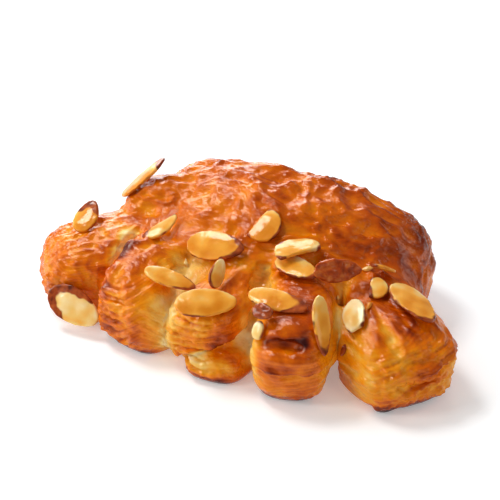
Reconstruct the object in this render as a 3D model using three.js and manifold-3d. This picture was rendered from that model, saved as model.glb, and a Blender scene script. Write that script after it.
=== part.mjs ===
// A bear claw pastry: one piece of folded, laminated dough with a domed palm and five toes fanned out
// from it, and sliced almonds stuck all over its top. Millimetres, +Z up, toes towards -Y.
// The origin is on the surface that it rests on, under the middle of its box.

import * as THREE from "three";
import { mergeVertices } from "three/addons/utils/BufferGeometryUtils.js";
import { ImprovedNoise } from "three/addons/math/ImprovedNoise.js";
import Module from "manifold-3d";

const wasm = await Module();
wasm.setup();

// ---- Driving dimensions ---------------------------------------------------------------------------

const FACET = 3.2; // typical edge of a facet on the dough
const SINK = 5; // how far each toe is drawn below the tray, where the flat base cuts it off
const LAYER = 6; // height of one baked layer at the toes
const CREASE_DEPTH = 0.35; // how deep a point lies below its neighbours where two lobes meet
const CREASE_REACH = 6; // how far from such a crease the dough has flowed together

// The palm: it is drawn `sink` below the tray, and its ends curl back by `curl`. It falls by the share
// `fall` of its height from its ridge to its front, and by the share `droop` towards its right end.
const PALM = {
  width: 107,
  depth: 76,
  height: 45,
  sink: 13,
  middle: [-2, 17.5],
  curl: 6,
  fall: 0.36,
  droop: 0.03,
  plan: 3,
  profile: 2.2,
};

// Each toe: where it starts inside the palm, where it heads in degrees from straight ahead (positive to
// the right), its reach, its width and height at the root and at the tip, and how far its right edge
// stands above its left one.
const TOES = {
  outer_left: { root: [-22, 22], heading: -56, reach: 61, width: [38, 36], height: [36, 25], tilt: 0 },
  left: { root: [-20, 20], heading: -15, reach: 51.6, width: [25, 30], height: [32, 28], tilt: -4 },
  middle_sole: { root: [-2, 18], heading: 3, reach: 51, width: [24, 24], height: [26, 13], tilt: 2 },
  middle_flap: { root: [1, 22], heading: -8, reach: 53, width: [26, 29], height: [34, 26], tilt: 3, lift: [12, -8] },
  right: { root: [13, 22], heading: 16, reach: 58, width: [26, 27], height: [32, 29], tilt: 3 },
  outer_right: { root: [20, 24], heading: 48, reach: 62.5, width: [31, 35], height: [30, 26], tilt: 3 },
};
const TOE_PLAN = 3.5; // how square the toes are seen from above, and from the side
const TOE_PROFILE = 2.7;

// The dough between the outer left toe and the palm, folded round like another toe that never opened.
const SHOULDER = { root: [-20, 26], heading: -77, reach: 38, width: [30, 26], height: [37, 37], tilt: 0 };

// The cuts between neighbouring toes: where the knife went in at the palm and came out at the front, on
// the dough's skin, and how wide and deep the cut has opened.
const CUTS = {
  outer_left_and_left: { from: [-42, 4, 30], to: [-42, -22, 14], width: 8, depth: 5 },
  left_and_middle: { from: [-19, 0, 29], to: [-17, -26, 20], width: 6.5, depth: 4.5 },
  middle_and_right: { from: [5, 2, 31], to: [10, -20, 14], width: 8, depth: 4.5 },
  right_and_outer_right: { from: [30, 7, 29], to: [38, -20, 3], width: 6.5, depth: 5 },
  below_right_and_outer_right: { from: [32.5, 0, 0], to: [37, -25, 0], width: 6, depth: 9.5 },
};

// The almond slices. Each is set down at a place, with its length along a direction. One with `out` faces
// that way and leans on what is behind it, and the others lie flat on what is under them. `broken` is
// the line it has snapped along, as a direction in its own plane and how far that is from its middle.
const SLICE = { length: 20, width: 10.5, thickness: 1.3, gap: 0.4 };
const SLICES = {
  back_left_shoulder: { at: [-49.5, 20, 35], along: [55, 67, 42], out: [-62, -17, 77] },
  outer_left_top: { at: [-62, 2, 25], along: [-15, 100, 40], out: [-5, -40, 90], length: 14, width: 8.5 },
  outer_left_front: { at: [-53, -20.5, 6.5], along: [19, -2, -5], out: [5, -86, 50], length: 21, width: 12 },
  left_crescent: { at: [-34, 1, 30], along: [50, 87, 0], length: 14, width: 9, broken: [0, 1, 0.5] },
  left_whole: { at: [-18.5, -20, 27], along: [100, 4, 0], length: 18.5, width: 7.2 },
  middle_palm: { at: [-11.5, -2.5, 30], along: [98, 12, 0], length: 21 },
  middle_half: { at: [1, 8, 36], along: [25, 97, 0], length: 13, width: 13, broken: [0, 1, 2.5] },
  middle_bent: { at: [-8.6, -13.2, 26], along: [-50, 100, 10], out: [75, -20, 65], length: 11.5, width: 5.5 },
  middle_front: { at: [-3, -25.5, 25], along: [88, 47, 0], out: [13, -32, 94], length: 20, width: 11 },
  right_lower: { at: [18, -3.5, 31], along: [100, -28, 0], length: 16.5, width: 9 },
  right_upper: { at: [16, 2, 33], along: [62, 78, 0], length: 16, width: 13, broken: [0, -1, 2.5] },
  right_skin: { at: [31.5, -1.8, 30], along: [88, 45, 0], length: 15.5, width: 7.2, skin: true },
  right_front: { at: [19.2, -19.3, 28], along: [100, -2, 0], out: [0, -25, 97], length: 21, width: 8.3 },
  right_side: { at: [30.8, -20.4, 23], along: [70, -100, -140], out: [70, -40, 60], length: 19, width: 6 },
  right_burnt: { at: [18.5, -24, 25], along: [90, -20, 0], out: [-30, -50, 80], length: 8, width: 5, skin: true },
  right_corner: { at: [18, -27, 22], along: [-20, 20, 80], out: [-30, -75, 50], length: 6, width: 4.5 },
  outer_right_edge: { at: [42, 9, 28], along: [80, 55, 0], out: [0, 60, 80], length: 9, width: 6 },
  outer_right_half: { at: [43, 2, 27], along: [-30, 95, 0], length: 10, width: 8, broken: [0, 1, 2] },
  outer_right_whole: { at: [56, 0, 26], along: [87, -65, 0], out: [20, 15, 95], length: 22, width: 12 },
  outer_right_chip: { at: [41, -11, 24], along: [33, -95, 0], length: 14, width: 8, broken: [1, 0.2, 5] },
};

// Where baked layers have split open at the front of a toe: how far from the middle of the toe, at what
// height, and how long, high and deep the split is.
const SPLITS = [
  { toe: "right", side: -2, z: 21.5, length: 15, height: 3.4, depth: 3 },
  { toe: "right", side: 1, z: 10, length: 19, height: 1.6, depth: 2 },
  { toe: "left", side: 0, z: 19, length: 18, height: 1.8, depth: 2 },
  { toe: "left", side: -1, z: 12, length: 20, height: 1.8, depth: 2 },
  { toe: "middle_sole", side: 0, z: 6, length: 14, height: 1.4, depth: 1.6 },
  { toe: "outer_right", side: 1, z: 18, length: 20, height: 1.8, depth: 2 },
  { toe: "outer_right", side: -2, z: 11, length: 22, height: 1.8, depth: 2 },
  { toe: "outer_left", side: -4, z: 17, length: 20, height: 1.4, depth: 1.6 },
];

// ---- Helpers --------------------------------------------------------------------------------------

const { lerp, smoothstep, degToRad } = THREE.MathUtils;
const perlin = new ImprovedNoise();

const spans = (...sizes) => sizes.map((size) => Math.max(3, Math.round(size / FACET)));

// Moves every vertex of a geometry by a function of its place.
function reshape(geometry, move) {
  const position = geometry.getAttribute("position");
  const point = new THREE.Vector3();
  for (let i = 0; i < position.count; i++) {
    move(point.fromBufferAttribute(position, i));
    position.setXYZ(i, point.x, point.y, point.z);
  }
  return geometry;
}

// A cube from -1 to 1 bulged into a rounded block. `plan` and `profile` say how square it stays seen from
// above and from the side: 2 is a ball, and more is blunter.
function roundedBlock(segments, plan, profile) {
  return reshape(new THREE.BoxGeometry(2, 2, 2, ...segments), (p) => {
    const [x, y, z] = p.toArray().map(Math.abs);
    const level = (x ** plan + y ** plan) ** (1 / plan);
    const round = (level ** profile + z ** profile) ** (1 / profile);
    p.multiplyScalar(Math.max(x, y, z) / round);
  });
}

function toSolid(geometry) {
  geometry.deleteAttribute("normal");
  geometry.deleteAttribute("uv");
  const merged = mergeVertices(geometry, 1e-3);
  return new wasm.Manifold(
    new wasm.Mesh({
      numProp: 3,
      vertProperties: new Float32Array(merged.getAttribute("position").array),
      triVerts: new Uint32Array(merged.index.array),
    }),
  );
}

function toGeometry(solid) {
  const mesh = solid.getMesh();
  const geometry = new THREE.BufferGeometry();
  geometry.setAttribute("position", new THREE.BufferAttribute(mesh.vertProperties, 3));
  geometry.setIndex(new THREE.BufferAttribute(mesh.triVerts, 1));
  return geometry;
}

// Softens the creases of a surface: points within `reach` of a crease move towards the middle of their
// neighbours, in rounds, and the rest of the surface stays as it is.
function softenCreases(geometry, reach, rounds) {
  const position = geometry.getAttribute("position");
  const index = geometry.index.array;
  const points = Array.from({ length: position.count }, (_, i) =>
    new THREE.Vector3().fromBufferAttribute(position, i),
  );
  const around = points.map(() => new Set());
  index.forEach((corner, i) => {
    const next = index[i % 3 === 2 ? i - 2 : i + 1];
    around[corner].add(next);
    around[next].add(corner);
  });
  const middle = (i) => {
    const sum = new THREE.Vector3();
    for (const j of around[i]) sum.add(points[j]);
    return sum.divideScalar(around[i].size);
  };
  geometry.computeVertexNormals();
  const normals = geometry.getAttribute("normal");
  const normal = new THREE.Vector3();
  const creases = points.filter(
    (p, i) => middle(i).sub(p).dot(normal.fromBufferAttribute(normals, i)) > CREASE_DEPTH,
  );
  const share = points.map((p) => {
    const nearest = Math.min(...creases.map((crease) => crease.distanceTo(p)));
    return 0.6 * (1 - smoothstep(nearest, 0.3 * reach, reach));
  });
  for (let round = 0; round < rounds; round++) {
    const moved = points.map((p, i) => (share[i] > 0 ? p.clone().lerp(middle(i), share[i]) : p));
    moved.forEach((p, i) => points[i].copy(p));
  }
  points.forEach((p, i) => position.setXYZ(i, p.x, p.y, p.z));
  return geometry;
}

// ---- The dough ------------------------------------------------------------------------------------

// The crackled skin: long low blisters that run along the pastry.
function blister(p) {
  const coarse = perlin.noise(p.x / 13, p.y / 8, p.z / 8);
  const fine = perlin.noise(p.x / 7 + 9, p.y / 5, p.z / 5);
  return 0.9 * coarse + 0.5 * fine;
}

// How far the baked surface stands out at a point, and in where it is negative. The palm is blistered,
// and the fronts of the toes show their layers as shelves, one above the other.
function relief(p, normal) {
  const front = smoothstep(Math.hypot(p.x - PALM.middle[0], p.y - PALM.middle[1]), 34, 46);
  const wave = perlin.noise(p.x / 11, p.y / 11, 3.7);
  const shelf = Math.sin((p.z / LAYER + wave) * 2 * Math.PI) * (1 - Math.abs(normal.z));
  return lerp(1.5 * blister(p), 0.7 * shelf, front);
}

function palm() {
  const { width, depth, height, sink, middle, curl, fall, droop, plan, profile } = PALM;
  return reshape(roundedBlock(spans(width, depth, height), plan, profile), (p) => {
    const along = p.x;
    const slope = (1 - fall * smoothstep(-p.y, -0.6, 1)) * (1 - droop * smoothstep(along, 0, 1));
    p.set(
      middle[0] + (width / 2) * along,
      middle[1] + (depth / 2) * p.y + curl * along ** 2,
      -sink + (height * slope + sink) * ((p.z + 1) / 2),
    );
  });
}

function toe({ root, heading, reach, width, height, tilt, lift = [-SINK, -SINK] }) {
  const ahead = new THREE.Vector2(Math.sin(degToRad(heading)), -Math.cos(degToRad(heading)));
  const across = new THREE.Vector2(-ahead.y, ahead.x);
  const block = roundedBlock(spans(reach, width[0], height[0]), TOE_PLAN, TOE_PROFILE);
  return reshape(block, (p) => {
    const along = (p.x + 1) / 2;
    const grow = smoothstep(along, 0, 0.75);
    const top = lerp(height[0], height[1], grow) + (tilt / 2) * p.y * grow;
    const bottom = lerp(lift[1], lift[0], (p.y + 1) / 2);
    const z = bottom + (top - bottom) * ((p.z + 1) / 2);
    const side = (lerp(width[0], width[1], grow) / 2) * p.y;
    p.set(
      root[0] + ahead.x * reach * along + across.x * side,
      root[1] + ahead.y * reach * along + across.y * side,
      z,
    );
  });
}

// Moves every point of a surface along its normal by the relief there.
function bake(geometry) {
  geometry.computeVertexNormals();
  const normals = geometry.getAttribute("normal").clone();
  const normal = new THREE.Vector3();
  let i = 0;
  return reshape(geometry, (p) => {
    normal.fromBufferAttribute(normals, i++);
    p.addScaledVector(normal, relief(p, normal));
  });
}

// A flat lens that is cut out of the front of a toe, centred on its skin.
function split(dough, { toe, side, z, length, height, depth }) {
  const { root, heading, reach } = TOES[toe];
  const turn = degToRad(heading - 90);
  const block = roundedBlock([3, Math.round(length / FACET), 2], 2, 2);
  const ahead = new THREE.Vector3(Math.cos(turn), Math.sin(turn), 0);
  const across = new THREE.Vector3(-ahead.y, ahead.x, 0);
  const outside = new THREE.Vector3(...root, z).addScaledVector(across, side).addScaledVector(ahead, 2 * reach);
  const ray = new THREE.Raycaster(outside, ahead.clone().negate());
  const [hit] = ray.intersectObject(dough);
  block.scale(depth, length / 2, height / 2).rotateZ(turn);
  return toSolid(block.translate(hit.point.x, hit.point.y, hit.point.z));
}

// A long lens that opens the dough between two toes.
function cut({ from, to, width, depth }) {
  const [start, end] = [from, to].map((p) => new THREE.Vector3(...p));
  const length = start.distanceTo(end);
  const block = roundedBlock(spans(length, width, 2 * depth), 2, 2).scale(length / 2, width / 2, depth);
  const along = end.clone().sub(start).normalize();
  const across = new THREE.Vector3(0, 0, 1).cross(along).normalize();
  const basis = new THREE.Matrix4().makeBasis(along, across, new THREE.Vector3().crossVectors(along, across));
  return block.applyMatrix4(basis.setPosition(start.lerp(end, 0.5)));
}

function pastry() {
  const lobes = [palm(), ...Object.values(TOES).map(toe), toe(SHOULDER)].map(toSolid);
  const joined = lobes.reduce((whole, lobe) => whole.add(lobe));
  const opened = Object.values(CUTS).map(cut).reduce((rest, lens) => rest.subtract(toSolid(lens)), joined);
  const dough = toSolid(bake(softenCreases(toGeometry(opened), CREASE_REACH, 6)));
  const skin = new THREE.Mesh(toGeometry(dough));
  const cuts = SPLITS.map((options) => split(skin, options));
  const tray = new THREE.BoxGeometry(400, 400, 40).translate(0, 0, -20);
  return [...cuts, toSolid(tray)].reduce((rest, tool) => rest.subtract(tool), dough);
}

// ---- The almonds ----------------------------------------------------------------------------------

// A slice in its own frame: a thin plate, round-edged and pointed at its far end, lengthways along X.
function almondSlice({ length = SLICE.length, width = SLICE.width, broken }) {
  const half = SLICE.thickness / 2;
  const section = [
    [0, -half],
    [0.88, -half],
    [1, -0.3 * half],
    [0.97, half],
    [0.5, half],
    [0, half],
  ].map(([r, z]) => new THREE.Vector2(r, z));
  const plate = new THREE.LatheGeometry(section, 16).rotateX(Math.PI / 2);
  reshape(plate, (p) => {
    const taper = 1 - 0.18 * p.x;
    const bow = 0.5 * (p.x ** 2 + p.y ** 2);
    p.set((length / 2) * p.x, (width / 2) * p.y * taper, p.z - bow);
  });
  const solid = toSolid(plate);
  if (!broken) return solid;
  const [x, y, distance] = broken;
  const beyond = new THREE.BoxGeometry(60, 60, 60).translate(distance / Math.hypot(x, y) + 30, 0, 0);
  return solid.subtract(toSolid(beyond.rotateZ(Math.atan2(y, x))));
}

// Sets a slice down on what is already there, and leaves a thin film of glaze between them.
function setDown(options, ground) {
  const solid = almondSlice(options);
  const geometry = toGeometry(solid);
  const up = options.out ? new THREE.Vector3(...options.out).normalize() : new THREE.Vector3(0, 0, 1);
  const at = new THREE.Vector3(...options.at);
  const ray = new THREE.Raycaster();
  const below = (point) => {
    ray.set(point.clone().addScaledVector(up, 40), up.clone().negate());
    const [hit] = ray.intersectObjects(ground);
    return hit ? hit.point : null;
  };
  const frame = (normal) => {
    const along = new THREE.Vector3(...options.along).projectOnPlane(normal).normalize();
    return [along, new THREE.Vector3().crossVectors(normal, along), normal];
  };
  let [along, across, normal] = frame(up);
  if (!options.out) {
    const { length = SLICE.length, width = SLICE.width } = options;
    const [head, tail] = [0.35, -0.35].map((k) => below(at.clone().addScaledVector(along, k * length)));
    const [left, right] = [0.35, -0.35].map((k) => below(at.clone().addScaledVector(across, k * width)));
    normal = new THREE.Vector3().crossVectors(head.sub(tail), left.sub(right)).normalize();
    [along, across, normal] = frame(normal);
  }
  geometry.applyMatrix4(new THREE.Matrix4().makeBasis(along, across, normal).setPosition(at));
  const gaps = [];
  reshape(geometry, (p) => {
    const surface = below(p);
    if (surface) gaps.push(p.clone().sub(surface).dot(up));
  });
  const drop = up.clone().multiplyScalar(SLICE.gap - Math.min(...gaps));
  return geometry.translate(drop.x, drop.y, drop.z);
}

// ---- The object -----------------------------------------------------------------------------------

const material = (color, roughness) => new THREE.MeshStandardMaterial({ color, roughness, metalness: 0 });

const object = new THREE.Group();

function addMesh(name, geometry, look) {
  const mesh = new THREE.Mesh(geometry, look);
  mesh.name = name;
  object.add(mesh);
}

addMesh("pastry", toGeometry(pastry()), material(0xc9731f, 0.35));
for (const [place, options] of Object.entries(SLICES)) {
  const look = options.skin ? material(0x8a3f1a, 0.3) : material(0xe3ab55, 0.3);
  addMesh(`almond_${place}`, setDown(options, [...object.children]), look);
}

// The origin goes under the middle of the whole.
const box = new THREE.Box3().setFromObject(object);
const middle = box.getCenter(new THREE.Vector3());
for (const mesh of object.children) mesh.geometry.translate(-middle.x, -middle.y, -box.min.z);

export default object;
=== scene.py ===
# %% [markdown]
# # A bear claw pastry
# A bear claw is a sheet of laminated dough, folded over, cut into toes along one edge, curved so that the
# toes fan out, brushed with egg, baked, and glazed over sliced almonds. Every length in these cells is in
# millimetres where its name or comment says so, because a baker thinks in millimetres, and Blender's own
# unit is the metre.

# %% Load the frame
import math

import bmesh
import bpy
import numpy as np
from mathutils import Matrix, Vector, noise


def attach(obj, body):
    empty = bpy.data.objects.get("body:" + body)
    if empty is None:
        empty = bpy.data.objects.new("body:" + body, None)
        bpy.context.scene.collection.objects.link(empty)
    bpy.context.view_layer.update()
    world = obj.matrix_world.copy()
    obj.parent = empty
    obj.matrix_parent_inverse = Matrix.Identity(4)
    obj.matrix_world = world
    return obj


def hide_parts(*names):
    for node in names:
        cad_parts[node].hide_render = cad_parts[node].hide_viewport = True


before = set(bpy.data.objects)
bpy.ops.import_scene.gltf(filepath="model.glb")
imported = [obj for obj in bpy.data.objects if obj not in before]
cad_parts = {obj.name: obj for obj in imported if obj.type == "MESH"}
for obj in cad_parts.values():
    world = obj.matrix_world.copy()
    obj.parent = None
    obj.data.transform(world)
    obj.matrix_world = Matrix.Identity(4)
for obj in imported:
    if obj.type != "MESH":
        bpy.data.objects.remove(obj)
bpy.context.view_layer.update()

MM = 0.001

# %% [markdown]
# Colours are chosen as the screen shows them, in hexadecimal, and the renderer works with linear light, so
# one function turns the one into the other. A second sets inputs that are the same all over a surface, and
# a third adds a shader node with its settings and its links. They keep each material readable from top to
# bottom.

# %% Three small helpers
def linear(colour):
    """Linear RGBA of an sRGB hex colour such as "#c9731f"."""
    parts = [int(colour[i : i + 2], 16) / 255 for i in (1, 3, 5)]
    return (*[c / 12.92 if c <= 0.04045 else ((c + 0.055) / 1.055) ** 2.4 for c in parts], 1.0)


def set_inputs(node, values):
    """Sets the node's inputs by name."""
    for name, value in values.items():
        node.inputs[name].default_value = value


def add_node(material, kind, links=None, **settings):
    """Adds a shader node. links fills its inputs, from sockets or from values, and settings its options."""
    node = material.node_tree.nodes.new(kind)
    for name, value in settings.items():
        setattr(node, name, value)
    for name, value in (links or {}).items():
        if isinstance(value, bpy.types.NodeSocket):
            material.node_tree.links.new(value, node.inputs[name])
        else:
            node.inputs[name].default_value = value
    return node


print("toasted almond, in linear light:", linear("#e8b365"))

# %% [markdown]
# ## Camera and light
# The pastry is seen from its front right and from above, as on a counter. A long lens from half a metre
# away keeps the toes from looking stretched. The light is a bright window behind and to the left, which
# draws broad white reflections on the glazed palm, with the white room around it to fill the front.

# %% The camera
LOOK_FROM = {"azimuth": 26, "elevation": 35, "distance": 520}  # degrees and millimetres
LENS = 112.3  # millimetres, on a sensor 36 mm wide
UNDER_CENTRE = 80 / 1560  # how far below the middle of the view the ground point lies, in lens lengths

turn, rise = math.radians(LOOK_FROM["azimuth"]), math.radians(LOOK_FROM["elevation"])
backward = Vector((math.sin(turn) * math.cos(rise), -math.cos(turn) * math.cos(rise), math.sin(rise)))
rightward = Vector((math.cos(turn), math.sin(turn), 0))
upward = backward.cross(rightward)
ground_point = Vector((2.53, -10.47, 0)) * MM
camera = bpy.data.objects.new("camera", bpy.data.cameras.new("camera"))
camera.location = ground_point + backward * LOOK_FROM["distance"] * MM
camera.rotation_euler = (upward * UNDER_CENTRE - backward).to_track_quat("-Z", "Y").to_euler()
camera.data.lens = LENS
camera.data.sensor_width = 36
bpy.context.collection.objects.link(camera)
bpy.context.scene.camera = camera
print("the camera is at", tuple(round(v, 3) for v in camera.location))

# %% The floor and the lamps
bpy.ops.mesh.primitive_plane_add(size=6, location=(0, 0, -0.1 * MM))  # 6 m wide, and just below the base
floor = bpy.context.object
floor.name = "floor"
white_board = bpy.data.materials.new("white_board")
white_board.use_nodes = True
set_inputs(
    white_board.node_tree.nodes["Principled BSDF"],
    {
        "Base Color": linear("#eef2f6"),
        "Roughness": 0.8,
        "Specular IOR Level": 0.1,
        "Emission Color": linear("#ffffff"),
        "Emission Strength": 0.215,  # lifts the shadows, as a light table does
    },
)
floor.data.materials.append(white_board)
PASTRY_MIDDLE = Vector((0, 0, 20)) * MM


def soft_lamp(name, place, size, power, colour):
    """A square lamp aimed at the pastry. place and size are in metres, and power is in watts."""
    lamp = bpy.data.lights.new(name, "AREA")
    lamp.size = size
    lamp.energy = power
    lamp.color = linear(colour)[:3]
    holder = bpy.data.objects.new(name, lamp)
    holder.location = place
    holder.rotation_euler = (PASTRY_MIDDLE - Vector(place)).to_track_quat("-Z", "Y").to_euler()
    bpy.context.collection.objects.link(holder)


soft_lamp("window", (-0.8, 1.05, 0.45), 0.8, 9, "#ffffff")
soft_lamp("left_window", (-1.15, -0.05, 0.32), 0.5, 3, "#ffffff")
soft_lamp("front_box", (-0.8, -0.7, 0.6), 0.36, 3.6, "#fffaf2")
soft_lamp("far_window", (0.9, 1.0, 0.45), 0.6, 2, "#ffffff")
soft_lamp("ceiling", (-0.6, 0.1, 1.0), 0.35, 5.2, "#fffdf8")
soft_lamp("right_box", (0.85, -0.4, 0.7), 0.35, 0.9, "#fffaf2")
room = bpy.data.worlds.new("room")
room.use_nodes = True
set_inputs(room.node_tree.nodes["Background"], {"Color": linear("#ffffff"), "Strength": 0.27})
bpy.context.scene.world = room
bpy.context.scene.view_settings.view_transform = "Standard"
bpy.context.scene.view_settings.look = "Medium High Contrast"

# %% [markdown]
# ## The dough
# The frame's pastry is a solid of about ten thousand flat facets. Its form is right, and its skin is too
# plain. A sculptor would remesh it to small even squares and then push those about, and this does the
# same in code: a voxel remesh, a rounding that melts the facets, and then moves of every point.

# %% Remesh the pastry
DOUGH_VOXEL = 0.65  # millimetres between points, about a third of the finest ledge
MELTING = 8  # rounds of rounding: the facets go and the folds stay
BASE = 0.4  # millimetres up to which a point is part of the flat base


def merged_copy(name, node):
    """A copy of a frame node with its loose triangles joined into one skin."""
    mesh = bpy.data.meshes.new(name)
    bm = bmesh.new()
    bm.from_mesh(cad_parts[node].data)
    bmesh.ops.remove_doubles(bm, verts=bm.verts, dist=0.002 * MM)  # corners of neighbours only
    bm.to_mesh(mesh)
    bm.free()
    piece = bpy.data.objects.new(name, mesh)
    bpy.context.collection.objects.link(piece)
    return piece


def remesh(piece, voxel):
    """Rebuilds the piece from even squares of that many millimetres."""
    step = piece.modifiers.new("voxels", "REMESH")
    step.mode = "VOXEL"
    step.voxel_size = voxel * MM
    step.use_smooth_shade = True
    graph = bpy.context.evaluated_depsgraph_get()
    new_mesh = bpy.data.meshes.new_from_object(piece.evaluated_get(graph))
    piece.modifiers.clear()
    piece.data = new_mesh


def get_points(mesh):
    """The mesh's points in millimetres, one row each."""
    points = np.empty(len(mesh.vertices) * 3)
    mesh.vertices.foreach_get("co", points)
    return points.reshape(-1, 3) / MM


def set_points(mesh, points):
    """Puts the mesh's points at these millimetres."""
    mesh.vertices.foreach_set("co", (points * MM).ravel())
    mesh.update()


def get_normals(mesh):
    """The direction that the skin faces at each point."""
    normals = np.empty(len(mesh.vertices) * 3)
    mesh.vertices.foreach_get("normal", normals)
    return normals.reshape(-1, 3)


def relax(values, edges, rounds, share=0.6):
    """Moves each value towards the mean of its neighbours', in rounds."""
    count = np.bincount(edges.ravel(), minlength=len(values)).astype(float)
    for _ in range(rounds):
        total = np.zeros_like(values)
        for column in range(values.shape[1]):
            there = np.bincount(edges[:, 0], values[edges[:, 1], column], len(values))
            here = np.bincount(edges[:, 1], values[edges[:, 0], column], len(values))
            total[:, column] = there + here
        values = values + share * (total / count[:, None] - values)
    return values


pastry = merged_copy("glazed_dough", "pastry")
remesh(pastry, DOUGH_VOXEL)
edges = np.array([e.vertices[:] for e in pastry.data.edges])
flat = get_points(pastry.data)
points = relax(flat, edges, MELTING)
in_base = flat[:, 2] < BASE
points[:, 2] = np.where(in_base, np.minimum(points[:, 2], flat[:, 2]), points[:, 2])
points[:, 2] = np.maximum(points[:, 2], 0)
set_points(pastry.data, points)
print("the dough has", len(points), "points and", len(pastry.data.polygons), "squares")

# %% [markdown]
# Every move below depends on where a point is on the pastry: on the palm or on which toe, how far along
# the toe, on its top, its flank or its tip. The toes are straight enough that a root, a heading and a
# width give all of that. A toe takes over from the palm about halfway along its reach, and lets go of it
# again beyond its flanks.

# %% Where each point is
CENTRE = np.array([-2.53, 10.47])  # from the frame's origin to the one the dough was shaped round
TOES = {  # root, heading in degrees from straight ahead, reach, half-width
    "outer_left": ((-22, 22), -56, 61, 18),
    "left": ((-20, 20), -15, 51.6, 15),
    "middle": ((1, 22), -8, 53, 14.5),
    "right": ((13, 22), 16, 58, 13.5),
    "outer_right": ((20, 24), 48, 62.5, 17.5),
}


def ease(values, low, high):
    """0 below low, 1 above high, and a smooth step between. high may be the smaller one."""
    t = np.clip((values - low) / (high - low), 0, 1)
    return t * t * (3 - 2 * t)


def field(places, seed):
    """Smooth noise of about -0.6 to 0.6 at each place, with one bump to each unit of length."""
    return np.array([noise.noise(p) for p in (places + seed).tolist()])


def toe_frame(points, root, heading):
    """How far each point is along the toe and across it, in millimetres, and its height."""
    ahead = np.array([math.sin(math.radians(heading)), -math.cos(math.radians(heading))])
    offset = points[:, :2] + CENTRE - np.array(root)
    return np.stack([offset @ ahead, offset @ np.array([-ahead[1], ahead[0]]), points[:, 2]], 1)


normals = get_normals(pastry.data)
steep = 1 - np.abs(normals[:, 2])
height = points[:, 2]
shares, frames = {}, {}
for name, (root, heading, reach, half_width) in TOES.items():
    frames[name] = toe_frame(points, root, heading)
    along = frames[name][:, 0] / reach
    across = np.abs(frames[name][:, 1]) / half_width
    shares[name] = ease(along, 0.42, 0.66) * np.exp(-14 * np.clip(across - 0.75, 0, 9) ** 2)
total = sum(shares.values()) + 1e-9
toe_share = np.clip(total, 0, 1)
for name in TOES:
    shares[name] = shares[name] / np.maximum(total, 1)
palm_share = 1 - toe_share
print("points that belong to the palm:", int((palm_share > 0.5).sum()))

# %% [markdown]
# The palm's skin blistered in the oven and then wrinkled as it cooled under its glaze. Cells of a Voronoi
# pattern, drawn out along the palm, give each blister a rounded top and a pinched edge, and thin raised
# lines are the wrinkles. Each pattern comes twice, coarse and fine. A size of (12, 7, 6.5) is a blister's
# length, depth and height in millimetres.

# %% The palm's blistered skin
def blisters(places, seed, edge):
    """1 in the middle of each cell, and 0 along its edges, which are that part of a cell wide."""
    found = np.array([noise.voronoi(p)[0][:2] for p in (places + seed).tolist()])
    return ease(found[:, 1] - found[:, 0], 0.0, edge)


def wrinkles(places, seed):
    """1 along thin raised lines, and falling to about 0 between them."""
    return 1 - 2.4 * np.abs(field(places, seed))


sway = np.stack([field(points / 16, seed) for seed in (5, 9, 13)], 1)
bent = points + 6 * sway  # millimetres, so no two blisters line up
swell = 0.8 * blisters(bent / (12, 7, 6.5), 3, 0.75) + 0.4 * blisters(bent / (6, 3.6, 3.2), 11, 0.8)
swell += 0.9 * wrinkles(bent / (9.5, 5, 4.4), 7) + 0.3 * wrinkles(bent / (4.6, 2.8, 2.5), 17)
swell += 1.2 * field(points / 13, 15) - 1.35  # on average, the skin stays where it was
above_floor = ease(height, 0.5, 5)
move = palm_share * swell * (1 - 0.45 * ease(points[:, 0], 30, 60)) * above_floor
print("the palm's skin rises and falls by", round(float(np.ptp(move)), 2), "mm")

# %% [markdown]
# Where the knife cut the dough, its layers show. On a toe's flank they are fine stretched lines that run
# along it, and at its tip they stand out as shingled ledges with bright lips. Both follow one measure,
# the number of layers below a point, which is the height above the tray over the height of a layer, bent
# by noise and tilted from toe to toe. The left toe has a corner at its tip: left of it the layers lie
# level, and right of it they climb steeply.

# %% The toes' layers
def rolls(layer):
    """The edges of stacked layers, rounded, with a sharp groove between each two, from -0.7 to 0.4."""
    return 1.1 * np.sqrt(np.abs(np.sin(np.pi * layer))) - 0.7


LAYERS = {  # height of a layer, fall to the tip, strands; then left and right: slope, ledges, grit, paleness
    "outer_left": (2.6, 0.1, 0.6, (-0.1, -0.1), (0.5, 0.5), (0.3, 0.3), (0.0, 0.0)),
    "left": (3.2, 0.5, 0.4, (0.0, 1.2), (1.2, 0.2), (0.4, 0.1), (0.0, 0.02)),
    "middle": (2.5, 0.5, 0.6, (0.1, 0.1), (1.5, 0.3), (0.8, 0.2), (0.1, 0.15)),
    "right": (3.2, 0.4, 0.2, (0.1, 0.1), (0.35, 0.3), (0.1, 0.1), (0.1, 0.18)),
    "outer_right": (2.5, 0.3, 0.9, (0.32, 0.32), (0.7, 0.85), (0.45, 0.3), (0.2, 0.0)),
}
PALM_LAYER = 3  # millimetres
CORNER = 1.5  # millimetres right of a toe's middle, where its slope changes
bend = 2.0 * field(points / 14, 21) + 0.7 * field(points / 5, 23)
layer = (height + bend) / PALM_LAYER
tip, rough, strands, grit, pale = np.zeros((5, len(points)))
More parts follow.
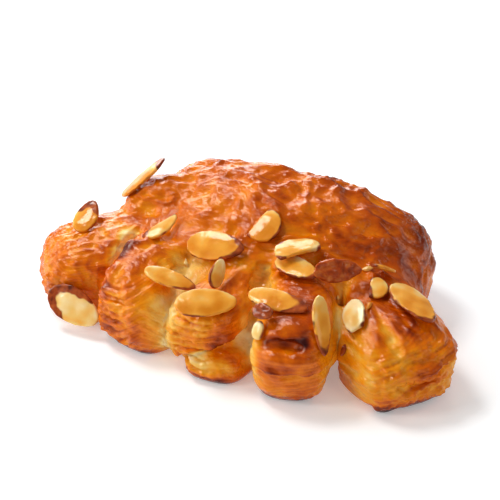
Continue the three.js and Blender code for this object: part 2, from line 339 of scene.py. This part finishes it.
for name, share in shares.items():
    along, across, _ = frames[name].T
    _, _, reach, half_width = TOES[name]
    pitch, fall, stretch, slope, ledges, crumbs, paleness = LAYERS[name]
    past_corner = 2 * np.logaddexp(0, (across - CORNER) / 2)  # millimetres right of it, begun gently
    slant = fall * np.minimum(along - 0.8 * reach, 0)
    slant -= slope[0] * across + (slope[1] - slope[0]) * past_corner
    layer += share * ((height + bend + slant) / pitch - (height + bend) / PALM_LAYER)
    tip += share * ease(along / reach, 0.72, 0.94)
    rough += share * np.interp(across, (3, 10), ledges)
    grit += share * np.interp(across, (-3, 5), crumbs)
    strands += share * stretch * field(np.stack([along / 10, across / 1.8, height / 1.8], 1), 31)
    side = ease(np.abs(across) / half_width, 0.4, 0.95) * ease(along / reach, 1.02, 0.85)
    pale += share * side * np.interp(across, (-2, 2), paleness)
patchy = np.clip(0.85 + field(points / 6, 41), 0.3, 1.3)  # the ledges are bolder in some places
wall = ease(steep, 0.1, 0.4)  # 1 on upright skin, and 0 on skin that lies flat
tip_ledges = tip * wall * patchy * rough * (rolls(layer) + 0.3 * rolls(2.1 * layer))
flank_lines = toe_share * (1 - 0.7 * tip) * wall * 0.16 * rolls(1.7 * layer)
crumbly = tip * (wall * grit + ease(height, 7, 2) * 0.8) * field(points / 1.6, 45)
move += above_floor * (tip_ledges + flank_lines + crumbly + strands)
move += above_floor * toe_share * 0.4 * field(points / 6, 51)
move += above_floor * shares["outer_left"] * 0.45 * wrinkles(bent / (5.5, 3.2, 2.8), 53)
print("the toes' ledges stand out by", round(float(np.ptp(tip_ledges)), 2), "mm")

# %% [markdown]
# Each toe opened in its own way: one has a folded crease across its front, one a raised seam along its
# side, one a hollow. Three kinds of place give all of them. A mark is a single swelling or hollow on a
# toe, a seam follows a bent line over the dough, and a lip is a line across a toe's front, with the dough
# above it standing out and the dough below it stepping back, or with numbers below 0 the other way round.

# %% Marks, seams and lips
MARKS = [  # toe, place along, across and up, size in each, rise in millimetres, darkening
    ("left", (36, 5, 24), (9, 5, 8), -1.2, -0.10),
    ("middle", (50, -11, 12), (6, 6, 8), 1.0, -0.10),
    ("right", (50, 0, 25.5), (6, 7, 3), 0.3, 0.06),
    ("left", (38, -6, 25), (7, 5, 5), 0, 0.12),
    ("outer_right", (55, -9, 12), (11, 8, 9), 0, -0.12),
    ("outer_right", (60, 12, 8), (8, 8, 8), 0, -0.05),
    ("right", (57, 0, 17.8), (5, 9, 2.0), 0.8, -0.04),
    ("right", (52, -11, 15), (4, 2.2, 9), 0.8, -0.26),
    ("outer_right", (53, -5.5, 22.5), (8, 2.2, 4), -1.8, -0.25),
    ("outer_right", (49, 1, 25), (9, 3.5, 4), 0.9, 0.16),
    ("outer_right", (57, 12, 16), (4, 4, 5), 0.9, -0.02),
    ("outer_right", (58.6, -10, 2), (3, 3, 3), 1.3, 0.25),
    ("outer_right", (41, -17, 12), (6, 4, 5), 0.7, -0.06),
    ("middle", (53, 8, 6.3), (5, 9, 3), 0, -0.32),
    ("right", (44, 13, 15), (7, 4, 5), 0.8, -0.06),
    ("right", (38, 0, 28), (14, 8, 5), 0, 0.12),
    ("left", (30, -11, 26), (8, 5, 7), 2.8, 0.04),
    ("left", (50, -5, 12), (8, 7, 12), 0, 0.06),
    ("middle", (36, 8, 25), (9, 6, 5), -0.5, 0.20),
    ("middle", (48, 10, 15), (6, 5, 7), 0, 0.20),
    ("left", (41, 2, 25), (7, 5.5, 6), 0, 0.14),
    ("outer_right", (38, 2, 27), (9, 7, 5), 0, 0.12),
    ("right", (57, 0, 14), (7, 12, 9), 0, 0.06),
]
SEAMS = [  # bent line over the dough, how far it reaches to each side, rise, darkening
    ([(-44.5, -1, 26), (-44.7, -4.5, 23), (-45, -10, 20)], 3.4, 0, -0.50),
    ([(-41, -3, 27), (-40, -11, 27)], 2.6, 0.8, 0.16),
    ([(-40, -11, 27), (-39.5, -21, 25), (-39.8, -25, 21.5)], 2.4, 0.8, 0.10),
    ([(-33.5, -21.5, 25), (-29.9, -26.5, 22.5), (-27.5, -31, 14), (-27.5, -30, 4)], 2.4, 0.5, 0.05),
    ([(-18, -8, 27), (-17, -26, 19), (-18, -24, 2)], 6.0, 0, -0.24),
    ([(5.6, -2.5, 25.5), (9.1, -18.6, 22), (10, -20.6, 8)], 5.0, 0, -0.30),
    ([(31, 3, 27), (31.5, 0, 21), (35, -7, 19), (36, -13, 15)], 4.5, 1.2, -0.38),
    # Painted shade: the crease across the right toe's front is sunk and painted darker.
    ([(21, -31, 21.3), (26.6, -29.2, 21.6), (32.2, -28.6, 22.7)], 2.2, -0.4, 0.31),
    # Painted shade: the bottom of the notch between the last two toes is painted darker.
    ([(37, -17, 12), (38, -19, 2)], 4.0, 0, 0.10),
    ([(12, -6, 27), (15, -22, 22)], 2.0, 0.5, -0.12),
]
LIPS = [  # toe, middle across and up, slope, half-length, reach, out above, in below, darker above, below
    # Darker above a lip is painted shade in the groove; the middle toe's paler sole is the dough's own
    # colour.
    ("left", (-5, 21), 0.0, 7, 1.5, -0.8, -0.7, 0.16, -0.04),
    ("left", (-5, 17.6), 0.0, 7, 1.5, -1.0, -0.9, 0.22, -0.04),
    ("left", (-5, 14.4), -0.05, 7, 1.5, -1.0, -0.9, 0.22, -0.04),
    ("left", (-5, 11), 0.0, 7, 1.5, -1.0, -0.9, 0.22, -0.04),
    ("left", (-5, 7.8), -0.08, 7, 1.5, -1.0, -0.9, 0.22, -0.04),
    ("left", (-4, 4.8), -0.1, 7, 1.5, -1.0, -0.9, 0.22, 0),
    ("middle", (4.7, 10.8), 0.6, 13, 3, 1.2, 1.5, 0.05, -0.26),
    ("middle", (-8, 13), 0.2, 6, 2, 0.8, 0.8, 0.05, -0.05),
    # Painted shade: below this lip, in the right toe's crease, the dough is painted darker.
    ("right", (-0.5, 23.4), 0.2, 8, 2.5, 0.5, 0.3, 0, 0.12),
    ("right", (0, 13), 0.05, 10, 3, 0.7, 0.7, 0.10, -0.04),
    ("outer_right", (9, 15.5), 0.25, 9, 3, 1.0, 0.9, 0.10, -0.08),
    ("outer_right", (0, 8.5), 0.25, 13, 3, 0.8, 0.7, 0.10, -0.06),
]


def nearness(places, line, reach):
    """1 on a bent line, falling smoothly with the distance from it, to almost 0 at twice the reach."""
    nearest = np.full(len(places), np.inf)
    for start, end in zip(np.array(line[:-1], float), np.array(line[1:], float)):
        t = np.clip((places - start) @ (end - start) / ((end - start) @ (end - start)), 0, 1)
        nearest = np.minimum(nearest, np.linalg.norm(places - start - t[:, None] * (end - start), axis=1))
    return np.exp(-((nearest / reach) ** 3))


darker = np.zeros(len(points))
uneven = 1 + 0.6 * field(points / 4, 55)
for name, middle, size, rise, darkening in MARKS:
    away = (((frames[name] - np.array(middle)) / np.array(size)) ** 2).sum(1)
    near = np.exp(-(away**2)) * uneven
    move += rise * near
    darker += darkening * near
for line, reach, rise, darkening in SEAMS:
    near = nearness(points + np.append(CENTRE, 0), line, reach) * uneven
    move += rise * near
    darker += darkening * near
for name, (side, up), slope, half_length, reach, out, back, darker_above, darker_below in LIPS:
    along, across, _ = frames[name].T
    beyond = height + 0.8 * field(points / 4, 57) - up - slope * (across - side)
    at_tip = ease(along / TOES[name][2], 0.74, 0.9)
    within = at_tip * np.exp(-(((across - side) / half_length) ** 4))
    above = within * ease(beyond, -0.3, 0.4) * np.exp(-np.maximum(beyond, 0) / reach)
    below = within * ease(beyond, 0.3, -0.4) * np.exp(np.minimum(beyond, 0) / reach)
    move += out * above - back * below
    darker += darker_above * above + darker_below * below
points = points + normals * move[:, None]
set_points(pastry.data, points)
print("marks, seams and lips:", len(MARKS), len(SEAMS), len(LIPS))

# %% [markdown]
# Deep between two toes, a move along the normals can push the skin through itself. Such a place is known
# by a normal that has turned round, and it is rounded out together with what lies near it. The pit where
# the last two toes part is rounded out too, because the proving dough had closed it.

# %% Unfold the skin between the toes
PARTING = [(31.5, 2, 25), (32.5, -2, 21), (35, -7, 19)]  # the pit, as a bent line
PIT_REACH = 4  # millimetres to each side of it
for _ in range(2):
    turned = ease((normals * get_normals(pastry.data)).sum(1), 0.2, -0.2)
    folded = np.clip(5 * relax(turned[:, None], edges, 8), 0, 1)
    in_pit = nearness(points + np.append(CENTRE, 0), PARTING, PIT_REACH)
    folded = np.maximum(folded, in_pit[:, None])
    points = points + folded * (relax(points, edges, 30) - points)
    set_points(pastry.data, points)
    print("points where the skin was folded over:", int((turned > 0.5).sum()))
points[:, 2] = np.maximum(points[:, 2], 0)
set_points(pastry.data, points)

# %% [markdown]
# ## How far each place is baked, and where shade is painted
# A crust browns where it is thin, high and near the heat, and stays pale in the valleys between the toes,
# where the dough was last to open. It is darkest at the palm's right end and along the lower edge of the
# toes. Painted shade goes into the same number: on the skin that faces the window lamps, round the back
# and at the far left, in the crease of the right toe, in the notch between the last two toes and in the
# grooves of the ledges, with painted highlight on the ledges' lips. The points store that as a number
# from 0, pale dough, to 1, nearly burnt or deep in painted shade, and the material turns the number into
# colour.

# %% The browning and the painted shade
def store(mesh, name, values):
    """Keeps a number for each point, for a material to read by this name."""
    mesh.attributes.new(name, "FLOAT", "POINT").data.foreach_set("value", values.astype(np.float32))


normals = get_normals(pastry.data)
rounded = relax(points, edges, 60)
bulge = ((points - rounded) * normals).sum(1)  # above 0 on ridges and below it in creases, in millimetres
x, y = points[:, 0], points[:, 1]
right_end = ease(x, 15, 50) * ease(x, 80, 55) * ease(height, 8, 26)
# Painted shade: skin that faces the window behind or the window on the left is painted darker.
painted_shade_back = ease(normals[:, 1], 0, 0.6) * ease(y, 0, 15)
painted_shade_left = ease(-normals[:, 0], 0.4, 0.9) * ease(x, -35, -60)
browning_and_shade = 0.45 + palm_share * (0.08 + 0.15 * right_end + 0.05 * ease(height, 30, 42) + 0.18 * painted_shade_back)
browning_and_shade += 0.05 * toe_share * ease(x, 0, 40) * ease(height, 8, 20)
browning_and_shade += 0.05 * shares["outer_left"] * ease(height, 12, 22) + 0.10 * painted_shade_left
browning_and_shade -= pale * ease(height, 30, 16)
browning_and_shade += tip * (0.05 * ease(height, 20, 8) + 0.30 * ease(height, 5, 0.5))
browning_and_shade += np.clip(bulge * (0.08 + 0.14 * toe_share * (1 - tip)), -0.10, 0.16)
# The ledges' grooves get painted shade and their lips painted highlight, from the ledges' own relief.
browning_and_shade += darker - 0.22 * tip_ledges
browning_and_shade += 0.14 * field(points / 9, 61) + 0.06 * field(points / 3, 67)
browning_and_shade = np.clip(browning_and_shade, 0, 1)
store(pastry.data, "browning_and_shade", browning_and_shade)
store(pastry.data, "layer", layer)
store(pastry.data, "toe", toe_share)
print("browning runs from", round(float(browning_and_shade.min()), 2), "to", round(float(browning_and_shade.max()), 2))

# %% [markdown]
# ## Glazed crust
# Egg wash and sugar make a clear, slightly uneven varnish over a matt brown crust. That is what a coat
# does in the shader: the crust below is rough and coloured, and the coat reflects the window. Its index of
# refraction, 1.4, lies between those of egg white and of sugar syrup. The crust's colour comes from the
# browning with its painted shade and highlight, made blotchy by noise, with a faint line for each thin
# layer of a toe.

# %% The crust's material
def fill_ramp(ramp, stops):
    """Gives a colour ramp its stops, which are (position, hex colour) pairs, and returns its colour."""
    while len(ramp.color_ramp.elements) < len(stops):
        ramp.color_ramp.elements.new(0.5)
    for element, (position, colour) in zip(ramp.color_ramp.elements, stops):
        element.position = position
        element.color = linear(colour)
    return ramp.outputs["Color"]


BLOTCH = 4.5  # millimetres, the size of a darker or paler patch
GRAIN = 1.3  # millimetres, the size of the crust's finest bumps
GRAIN_STRETCH = (1.8, 1, 0.8)  # the bumps are long across the pastry, and a little flat
LINE_WAVE = 16.0  # radians of a line's wave in each layer, so two or three lines
crust = bpy.data.materials.new("egg_washed_crust")
crust.use_nodes = True
shader = crust.node_tree.nodes["Principled BSDF"]
baked_and_shaded = add_node(crust, "ShaderNodeAttribute", attribute_name="browning_and_shade").outputs["Fac"]
stack = add_node(crust, "ShaderNodeAttribute", attribute_name="layer").outputs["Fac"]
on_toe = add_node(crust, "ShaderNodeAttribute", attribute_name="toe").outputs["Fac"]
place = add_node(crust, "ShaderNodeTexCoord").outputs["Object"]
patches = {"Vector": place, "Scale": 1 / (BLOTCH * MM), "Detail": 4.0}
blotchy = {0: add_node(crust, "ShaderNodeTexNoise", patches).outputs["Fac"], 1: 0.24, 2: -0.12}
mottle = add_node(crust, "ShaderNodeMath", blotchy, operation="MULTIPLY_ADD").outputs[0]
wave = add_node(crust, "ShaderNodeMath", {0: stack, 1: LINE_WAVE}, operation="MULTIPLY").outputs[0]
thin_lines = add_node(crust, "ShaderNodeMath", {0: wave}, operation="SINE").outputs[0]
toe_lines = add_node(crust, "ShaderNodeMath", {0: thin_lines, 1: on_toe}, operation="MULTIPLY").outputs[0]
faint_lines = add_node(crust, "ShaderNodeMath", {0: toe_lines, 1: 0.018}, operation="MULTIPLY").outputs[0]
mottled = add_node(crust, "ShaderNodeMath", {0: baked_and_shaded, 1: mottle}, operation="ADD").outputs[0]
amount = add_node(crust, "ShaderNodeMath", {0: mottled, 1: faint_lines}, operation="ADD").outputs[0]
# Crust colours from pale dough to nearly burnt; the darkest ones also paint the shade.
BAKED_AND_SHADED = [
    (0.00, "#fce4b0"),
    (0.14, "#f8ce74"),
    (0.28, "#f2ac38"),
    (0.42, "#ec920a"),
    (0.54, "#e17802"),
    (0.66, "#bf5602"),
    (0.78, "#8a3306"),
    (0.90, "#561910"),
    (1.00, "#2e0d10"),
]
colours = fill_ramp(add_node(crust, "ShaderNodeValToRGB", {"Fac": amount}), BAKED_AND_SHADED)
crust.node_tree.links.new(colours, shader.inputs["Base Color"])
grain_scale = [1 / (GRAIN * MM * way) for way in GRAIN_STRETCH]
grain_place = add_node(crust, "ShaderNodeMapping", {"Vector": place, "Scale": grain_scale}).outputs[0]
grain = {"Vector": grain_place, "Scale": 1.0, "Detail": 3.0}
fine = add_node(crust, "ShaderNodeTexNoise", grain).outputs["Fac"]
lined = {0: thin_lines, 1: 0.05, 2: fine}
relief = add_node(crust, "ShaderNodeMath", lined, operation="MULTIPLY_ADD").outputs[0]
bump = add_node(crust, "ShaderNodeBump", {"Height": relief, "Strength": 0.6, "Distance": 0.7 * MM})
crust.node_tree.links.new(bump.outputs["Normal"], shader.inputs["Normal"])
crust.node_tree.links.new(bump.outputs["Normal"], shader.inputs["Coat Normal"])
set_inputs(
    shader,
    {
        "Roughness": 0.5,
        "Specular IOR Level": 0.0,
        "Coat Weight": 1.0,
        "Coat IOR": 1.4,
        "Coat Roughness": 0.1,
        "Subsurface Weight": 0.06,
        "Subsurface Radius": (1.0, 0.45, 0.15),
        "Subsurface Scale": 2 * MM,
    },
)
pastry.data.materials.append(crust)
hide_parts("pastry")
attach(pastry, "root")
print("crust colours:", [colour for _, colour in BAKED_AND_SHADED])

# %% [markdown]
# ## Almond slices
# A slice is a thin oval of white nut inside a brown skin, so the skin shows as a dark line round its edge,
# and broadly where the knife went close to the side of the nut. Each slice starts from its own plate in
# the frame, remeshed finely, so that it stays exactly where it was set down, and then its faces and its
# outline are made uneven.

# %% The slices
SLICE_VOXEL = 0.3  # millimetres between points, a quarter of a slice's thickness
TOASTING = {  # how golden, where its skin shows in degrees round from the right, how broad, and how far round
    "back_left_shoulder": (0.95, 60, 1.6, 0.2),
    "outer_left_top": (0.85, 85, 2.4, 0.5),
    "outer_left_front": (0.30, 120, 2.4, 1.1),
    "left_crescent": (0.6, 150, 0.8, 0.3),
    "left_whole": (0.75, -35, 0.6, 0.2),
    "middle_palm": (0.75, -15, 1.1, 0.5),
    "middle_half": (0.9, -10, 0.8, 0.5),
    "middle_bent": (0.6, 180, 0.8, 0.6),
    "middle_front": (0.78, -90, 0.25, 0.5),
    "right_lower": (0.6, -95, 0.7, 0.9),
    "right_upper": (0.55, 100, 1.2, 0.6),
    "right_skin": (0.8, 90, 50, 9),
    "right_front": (0.8, -15, 1.4, 0.2),
    "right_side": (0.75, -80, 0.6, 0.1),
    "right_burnt": (0.9, 90, 50, 9),
    "right_corner": (0.3, 90, 0.3, 0.2),
    "outer_right_edge": (0.85, 180, 0.5, 0.3),
    "outer_right_half": (0.6, 180, 3.0, 0.4),
    "outer_right_whole": (0.75, -60, 0.8, 1.0),
    "outer_right_chip": (0.2, -30, 0.25, 0.3),
}


def almond(name, golden, skin_side, skin_breadth, skin_reach, number):
    """A slice in place of its plate. number only makes its lumps its own."""
    piece = merged_copy("slice_" + name, "almond_" + name)
    remesh(piece, SLICE_VOXEL)
    mesh = piece.data
    links = np.array([e.vertices[:] for e in mesh.edges])
    spots = relax(get_points(mesh), links, 2)
    _, _, ways = np.linalg.svd(spots - spots.mean(0), full_matrices=False)  # along, across and through it
    own = (spots - spots.mean(0)) @ ways.T
    size = np.abs(own).max(0)
    set_points(mesh, spots)
    facing = get_normals(mesh)
    inward = (1 - np.hypot(own[:, 0] / size[0], own[:, 1] / size[1])) * size[1]  # millimetres from its edge
    lumps = 0.25 * field(spots / 5, number) + 0.05 * field(spots / 1.5, number)
    if skin_breadth > size[0]:  # a slice that lies skin side up is wrinkled
        lumps += 0.35 * wrinkles(spots / (5, 2, 2), number)
    spots = spots + facing * lumps[:, None]
    set_points(mesh, spots)
    as_seen = (spots - spots.mean(0)) @ np.array([rightward, upward]).T
    angle = math.radians(skin_side)
    side = as_seen @ np.array([math.cos(angle), math.sin(angle)]) / size[1]
    # Painted shade: a slice is painted more golden, so darker, towards its lower side as the camera sees it.
    low = -as_seen[:, 1] / np.abs(as_seen[:, 1]).max()
    start = 0.6 - skin_reach
    breadth = skin_breadth * ease(side + 0.5 * field(spots / 3, number), start, start + 0.8)
    store(mesh, "skin", ease(inward + 0.4 * field(spots / 1.5, number), breadth + 0.25, breadth - 0.25))
    rim = ease(inward + 0.5 * field(spots / 2, number), 1.6, 0.3)
    store(mesh, "golden", golden + 0.22 * low - 0.18 * rim + 0.4 * field(spots / 4, number + 3))
    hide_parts("almond_" + name)
    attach(piece, "root")
    return piece


slices = {name: almond(name, *how, i + 1.0) for i, (name, how) in enumerate(TOASTING.items())}
print(len(slices), "slices, with", sum(len(s.data.polygons) for s in slices.values()), "squares in all")

# %% [markdown]
# Toasted almond is waxy: light goes a little way into it, so it glows at its edges, and the glaze on it is
# thinner than on the crust. Heat turns it from cream to gold in soft clouds. Its skin is a thin brown paper.
# The oven darkened it at the slices' edges and on the burnt piece, and it stayed reddish on the slice that
# lies skin side up, so there are two materials.

# %% The almond's material
CLOUD = 3.0  # millimetres, the size of a more or less toasted patch
WAX_GRAIN = 1.0  # millimetres, the size of the finest bumps


def almond_material(name, face, skin):
    """Nut and skin, each a list of (position, hex colour) pairs from pale to dark."""
    made = bpy.data.materials.new(name)
    made.use_nodes = True
    shader = made.node_tree.nodes["Principled BSDF"]
    place = add_node(made, "ShaderNodeTexCoord").outputs["Object"]
    golden = add_node(made, "ShaderNodeAttribute", attribute_name="golden").outputs["Fac"]
    covered = add_node(made, "ShaderNodeAttribute", attribute_name="skin").outputs["Fac"]
    clouds = {"Vector": place, "Scale": 1 / (CLOUD * MM), "Detail": 3.0}
    cloud = add_node(made, "ShaderNodeTexNoise", clouds).outputs["Fac"]
    clouded = {0: cloud, 1: 0.3, 2: -0.15}
    patchy = add_node(made, "ShaderNodeMath", clouded, operation="MULTIPLY_ADD").outputs[0]
    # This also carries each slice's painted shade, darker towards its lower side.
    toasted = add_node(made, "ShaderNodeMath", {0: golden, 1: patchy}, operation="ADD").outputs[0]
    nut_colour = fill_ramp(add_node(made, "ShaderNodeValToRGB", {"Fac": toasted}), face)
    skin_colour = fill_ramp(add_node(made, "ShaderNodeValToRGB", {"Fac": cloud}), skin)
    colours = {0: covered, 6: nut_colour, 7: skin_colour}  # the inputs of a Mix node of colours
    tint = add_node(made, "ShaderNodeMix", colours, data_type="RGBA")
    made.node_tree.links.new(tint.outputs[2], shader.inputs["Base Color"])
    grain = {"Vector": place, "Scale": 1 / (WAX_GRAIN * MM), "Detail": 2.0}
    fine = add_node(made, "ShaderNodeTexNoise", grain).outputs["Fac"]
    bump = add_node(made, "ShaderNodeBump", {"Height": fine, "Strength": 0.25, "Distance": 0.3 * MM})
    made.node_tree.links.new(bump.outputs["Normal"], shader.inputs["Normal"])
    waxy = {
        "Roughness": 0.42,
        "Specular IOR Level": 0.1,
        "Coat Weight": 0.9,
        "Coat IOR": 1.4,
        "Coat Roughness": 0.12,
        "Subsurface Weight": 0.2,
        "Subsurface Radius": (1.0, 0.6, 0.25),
        "Subsurface Scale": 1.5 * MM,
    }
    set_inputs(shader, waxy)
    return made


NUT = [(0.0, "#f8e4b4"), (0.3, "#f2ca7c"), (0.6, "#f2ae44"), (1.0, "#e08e1c")]
DARK_SKIN = [(0.3, "#5a220e"), (0.5, "#994418"), (0.7, "#bd6226")]
RED_SKIN = [(0.3, "#8a360c"), (0.5, "#b65014"), (0.7, "#d4803c")]
toasted_almond = almond_material("toasted_almond", NUT, DARK_SKIN)
almond_skin = almond_material("almond_skin", NUT, RED_SKIN)
for name, piece in slices.items():
    piece.data.materials.append(almond_skin if name == "right_skin" else toasted_almond)
print("nut colours:", [colour for _, colour in NUT])

# %% [markdown]
# ## Chips
# Slicing leaves chips and slivers among the slices. Each is a small flattened ball, made uneven, laid on
# the dough's skin where it is nearest, and coloured by the same two numbers as the slices.

# %% The chips
CHIPS = [  # near where on the dough, length, breadth, degrees round from the right, how golden, how much skin
    ((46.4, -15.8, 25.6), 3.6, 1.3, 80, 0.9, 0.0),
    ((43.6, -29.6, 16.9), 3.8, 1.7, 65, 0.5, 1.0),
    ((39.3, 0.2, 28.3), 3.4, 2.0, 10, 0.4, 0.1),
    ((35.0, -13.0, 24.0), 1.8, 1.2, 40, 0.3, 0.0),
    ((-16.5, -17.8, 25.5), 2.4, 1.4, 100, 0.2, 0.0),
]
HALF_THICK = 0.5  # millimetres
LIFT = 0.3  # millimetres, so that a chip lies in the glaze and not half in the dough
bm = bmesh.new()
skin_number = bm.verts.layers.float.new("skin")
golden_number = bm.verts.layers.float.new("golden")
normals = get_normals(pastry.data)
for number, (where, length, breadth, round_from_right, golden, skin) in enumerate(CHIPS):
    nearest = np.argmin(np.linalg.norm(points - np.array(where), axis=1))
    out = Vector(normals[nearest])
    angle = math.radians(round_from_right)
    lengthways = rightward * math.cos(angle) + upward * math.sin(angle)
    lengthways = (lengthways - out * lengthways.dot(out)).normalized()
    sideways = out.cross(lengthways)
    axes = Matrix((lengthways * length / 2, sideways * breadth / 2, out * HALF_THICK)).transposed()
    for vert in bmesh.ops.create_icosphere(bm, subdivisions=3, radius=1.0)["verts"]:
        uneven_by = 1 + 0.45 * noise.noise(vert.co * 1.1 + Vector((number * 7.0, 0, 0)))
        vert.co = (Vector(points[nearest]) + axes @ (vert.co * uneven_by) + out * LIFT) * MM
        vert[skin_number] = skin
        vert[golden_number] = golden
chips_mesh = bpy.data.meshes.new("almond_chips")
bm.to_mesh(chips_mesh)
bm.free()
chips_mesh.shade_smooth()
chips_mesh.materials.append(toasted_almond)
chips = bpy.data.objects.new("almond_chips", chips_mesh)
bpy.context.collection.objects.link(chips)
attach(chips, "root")
print(len(CHIPS), "chips")
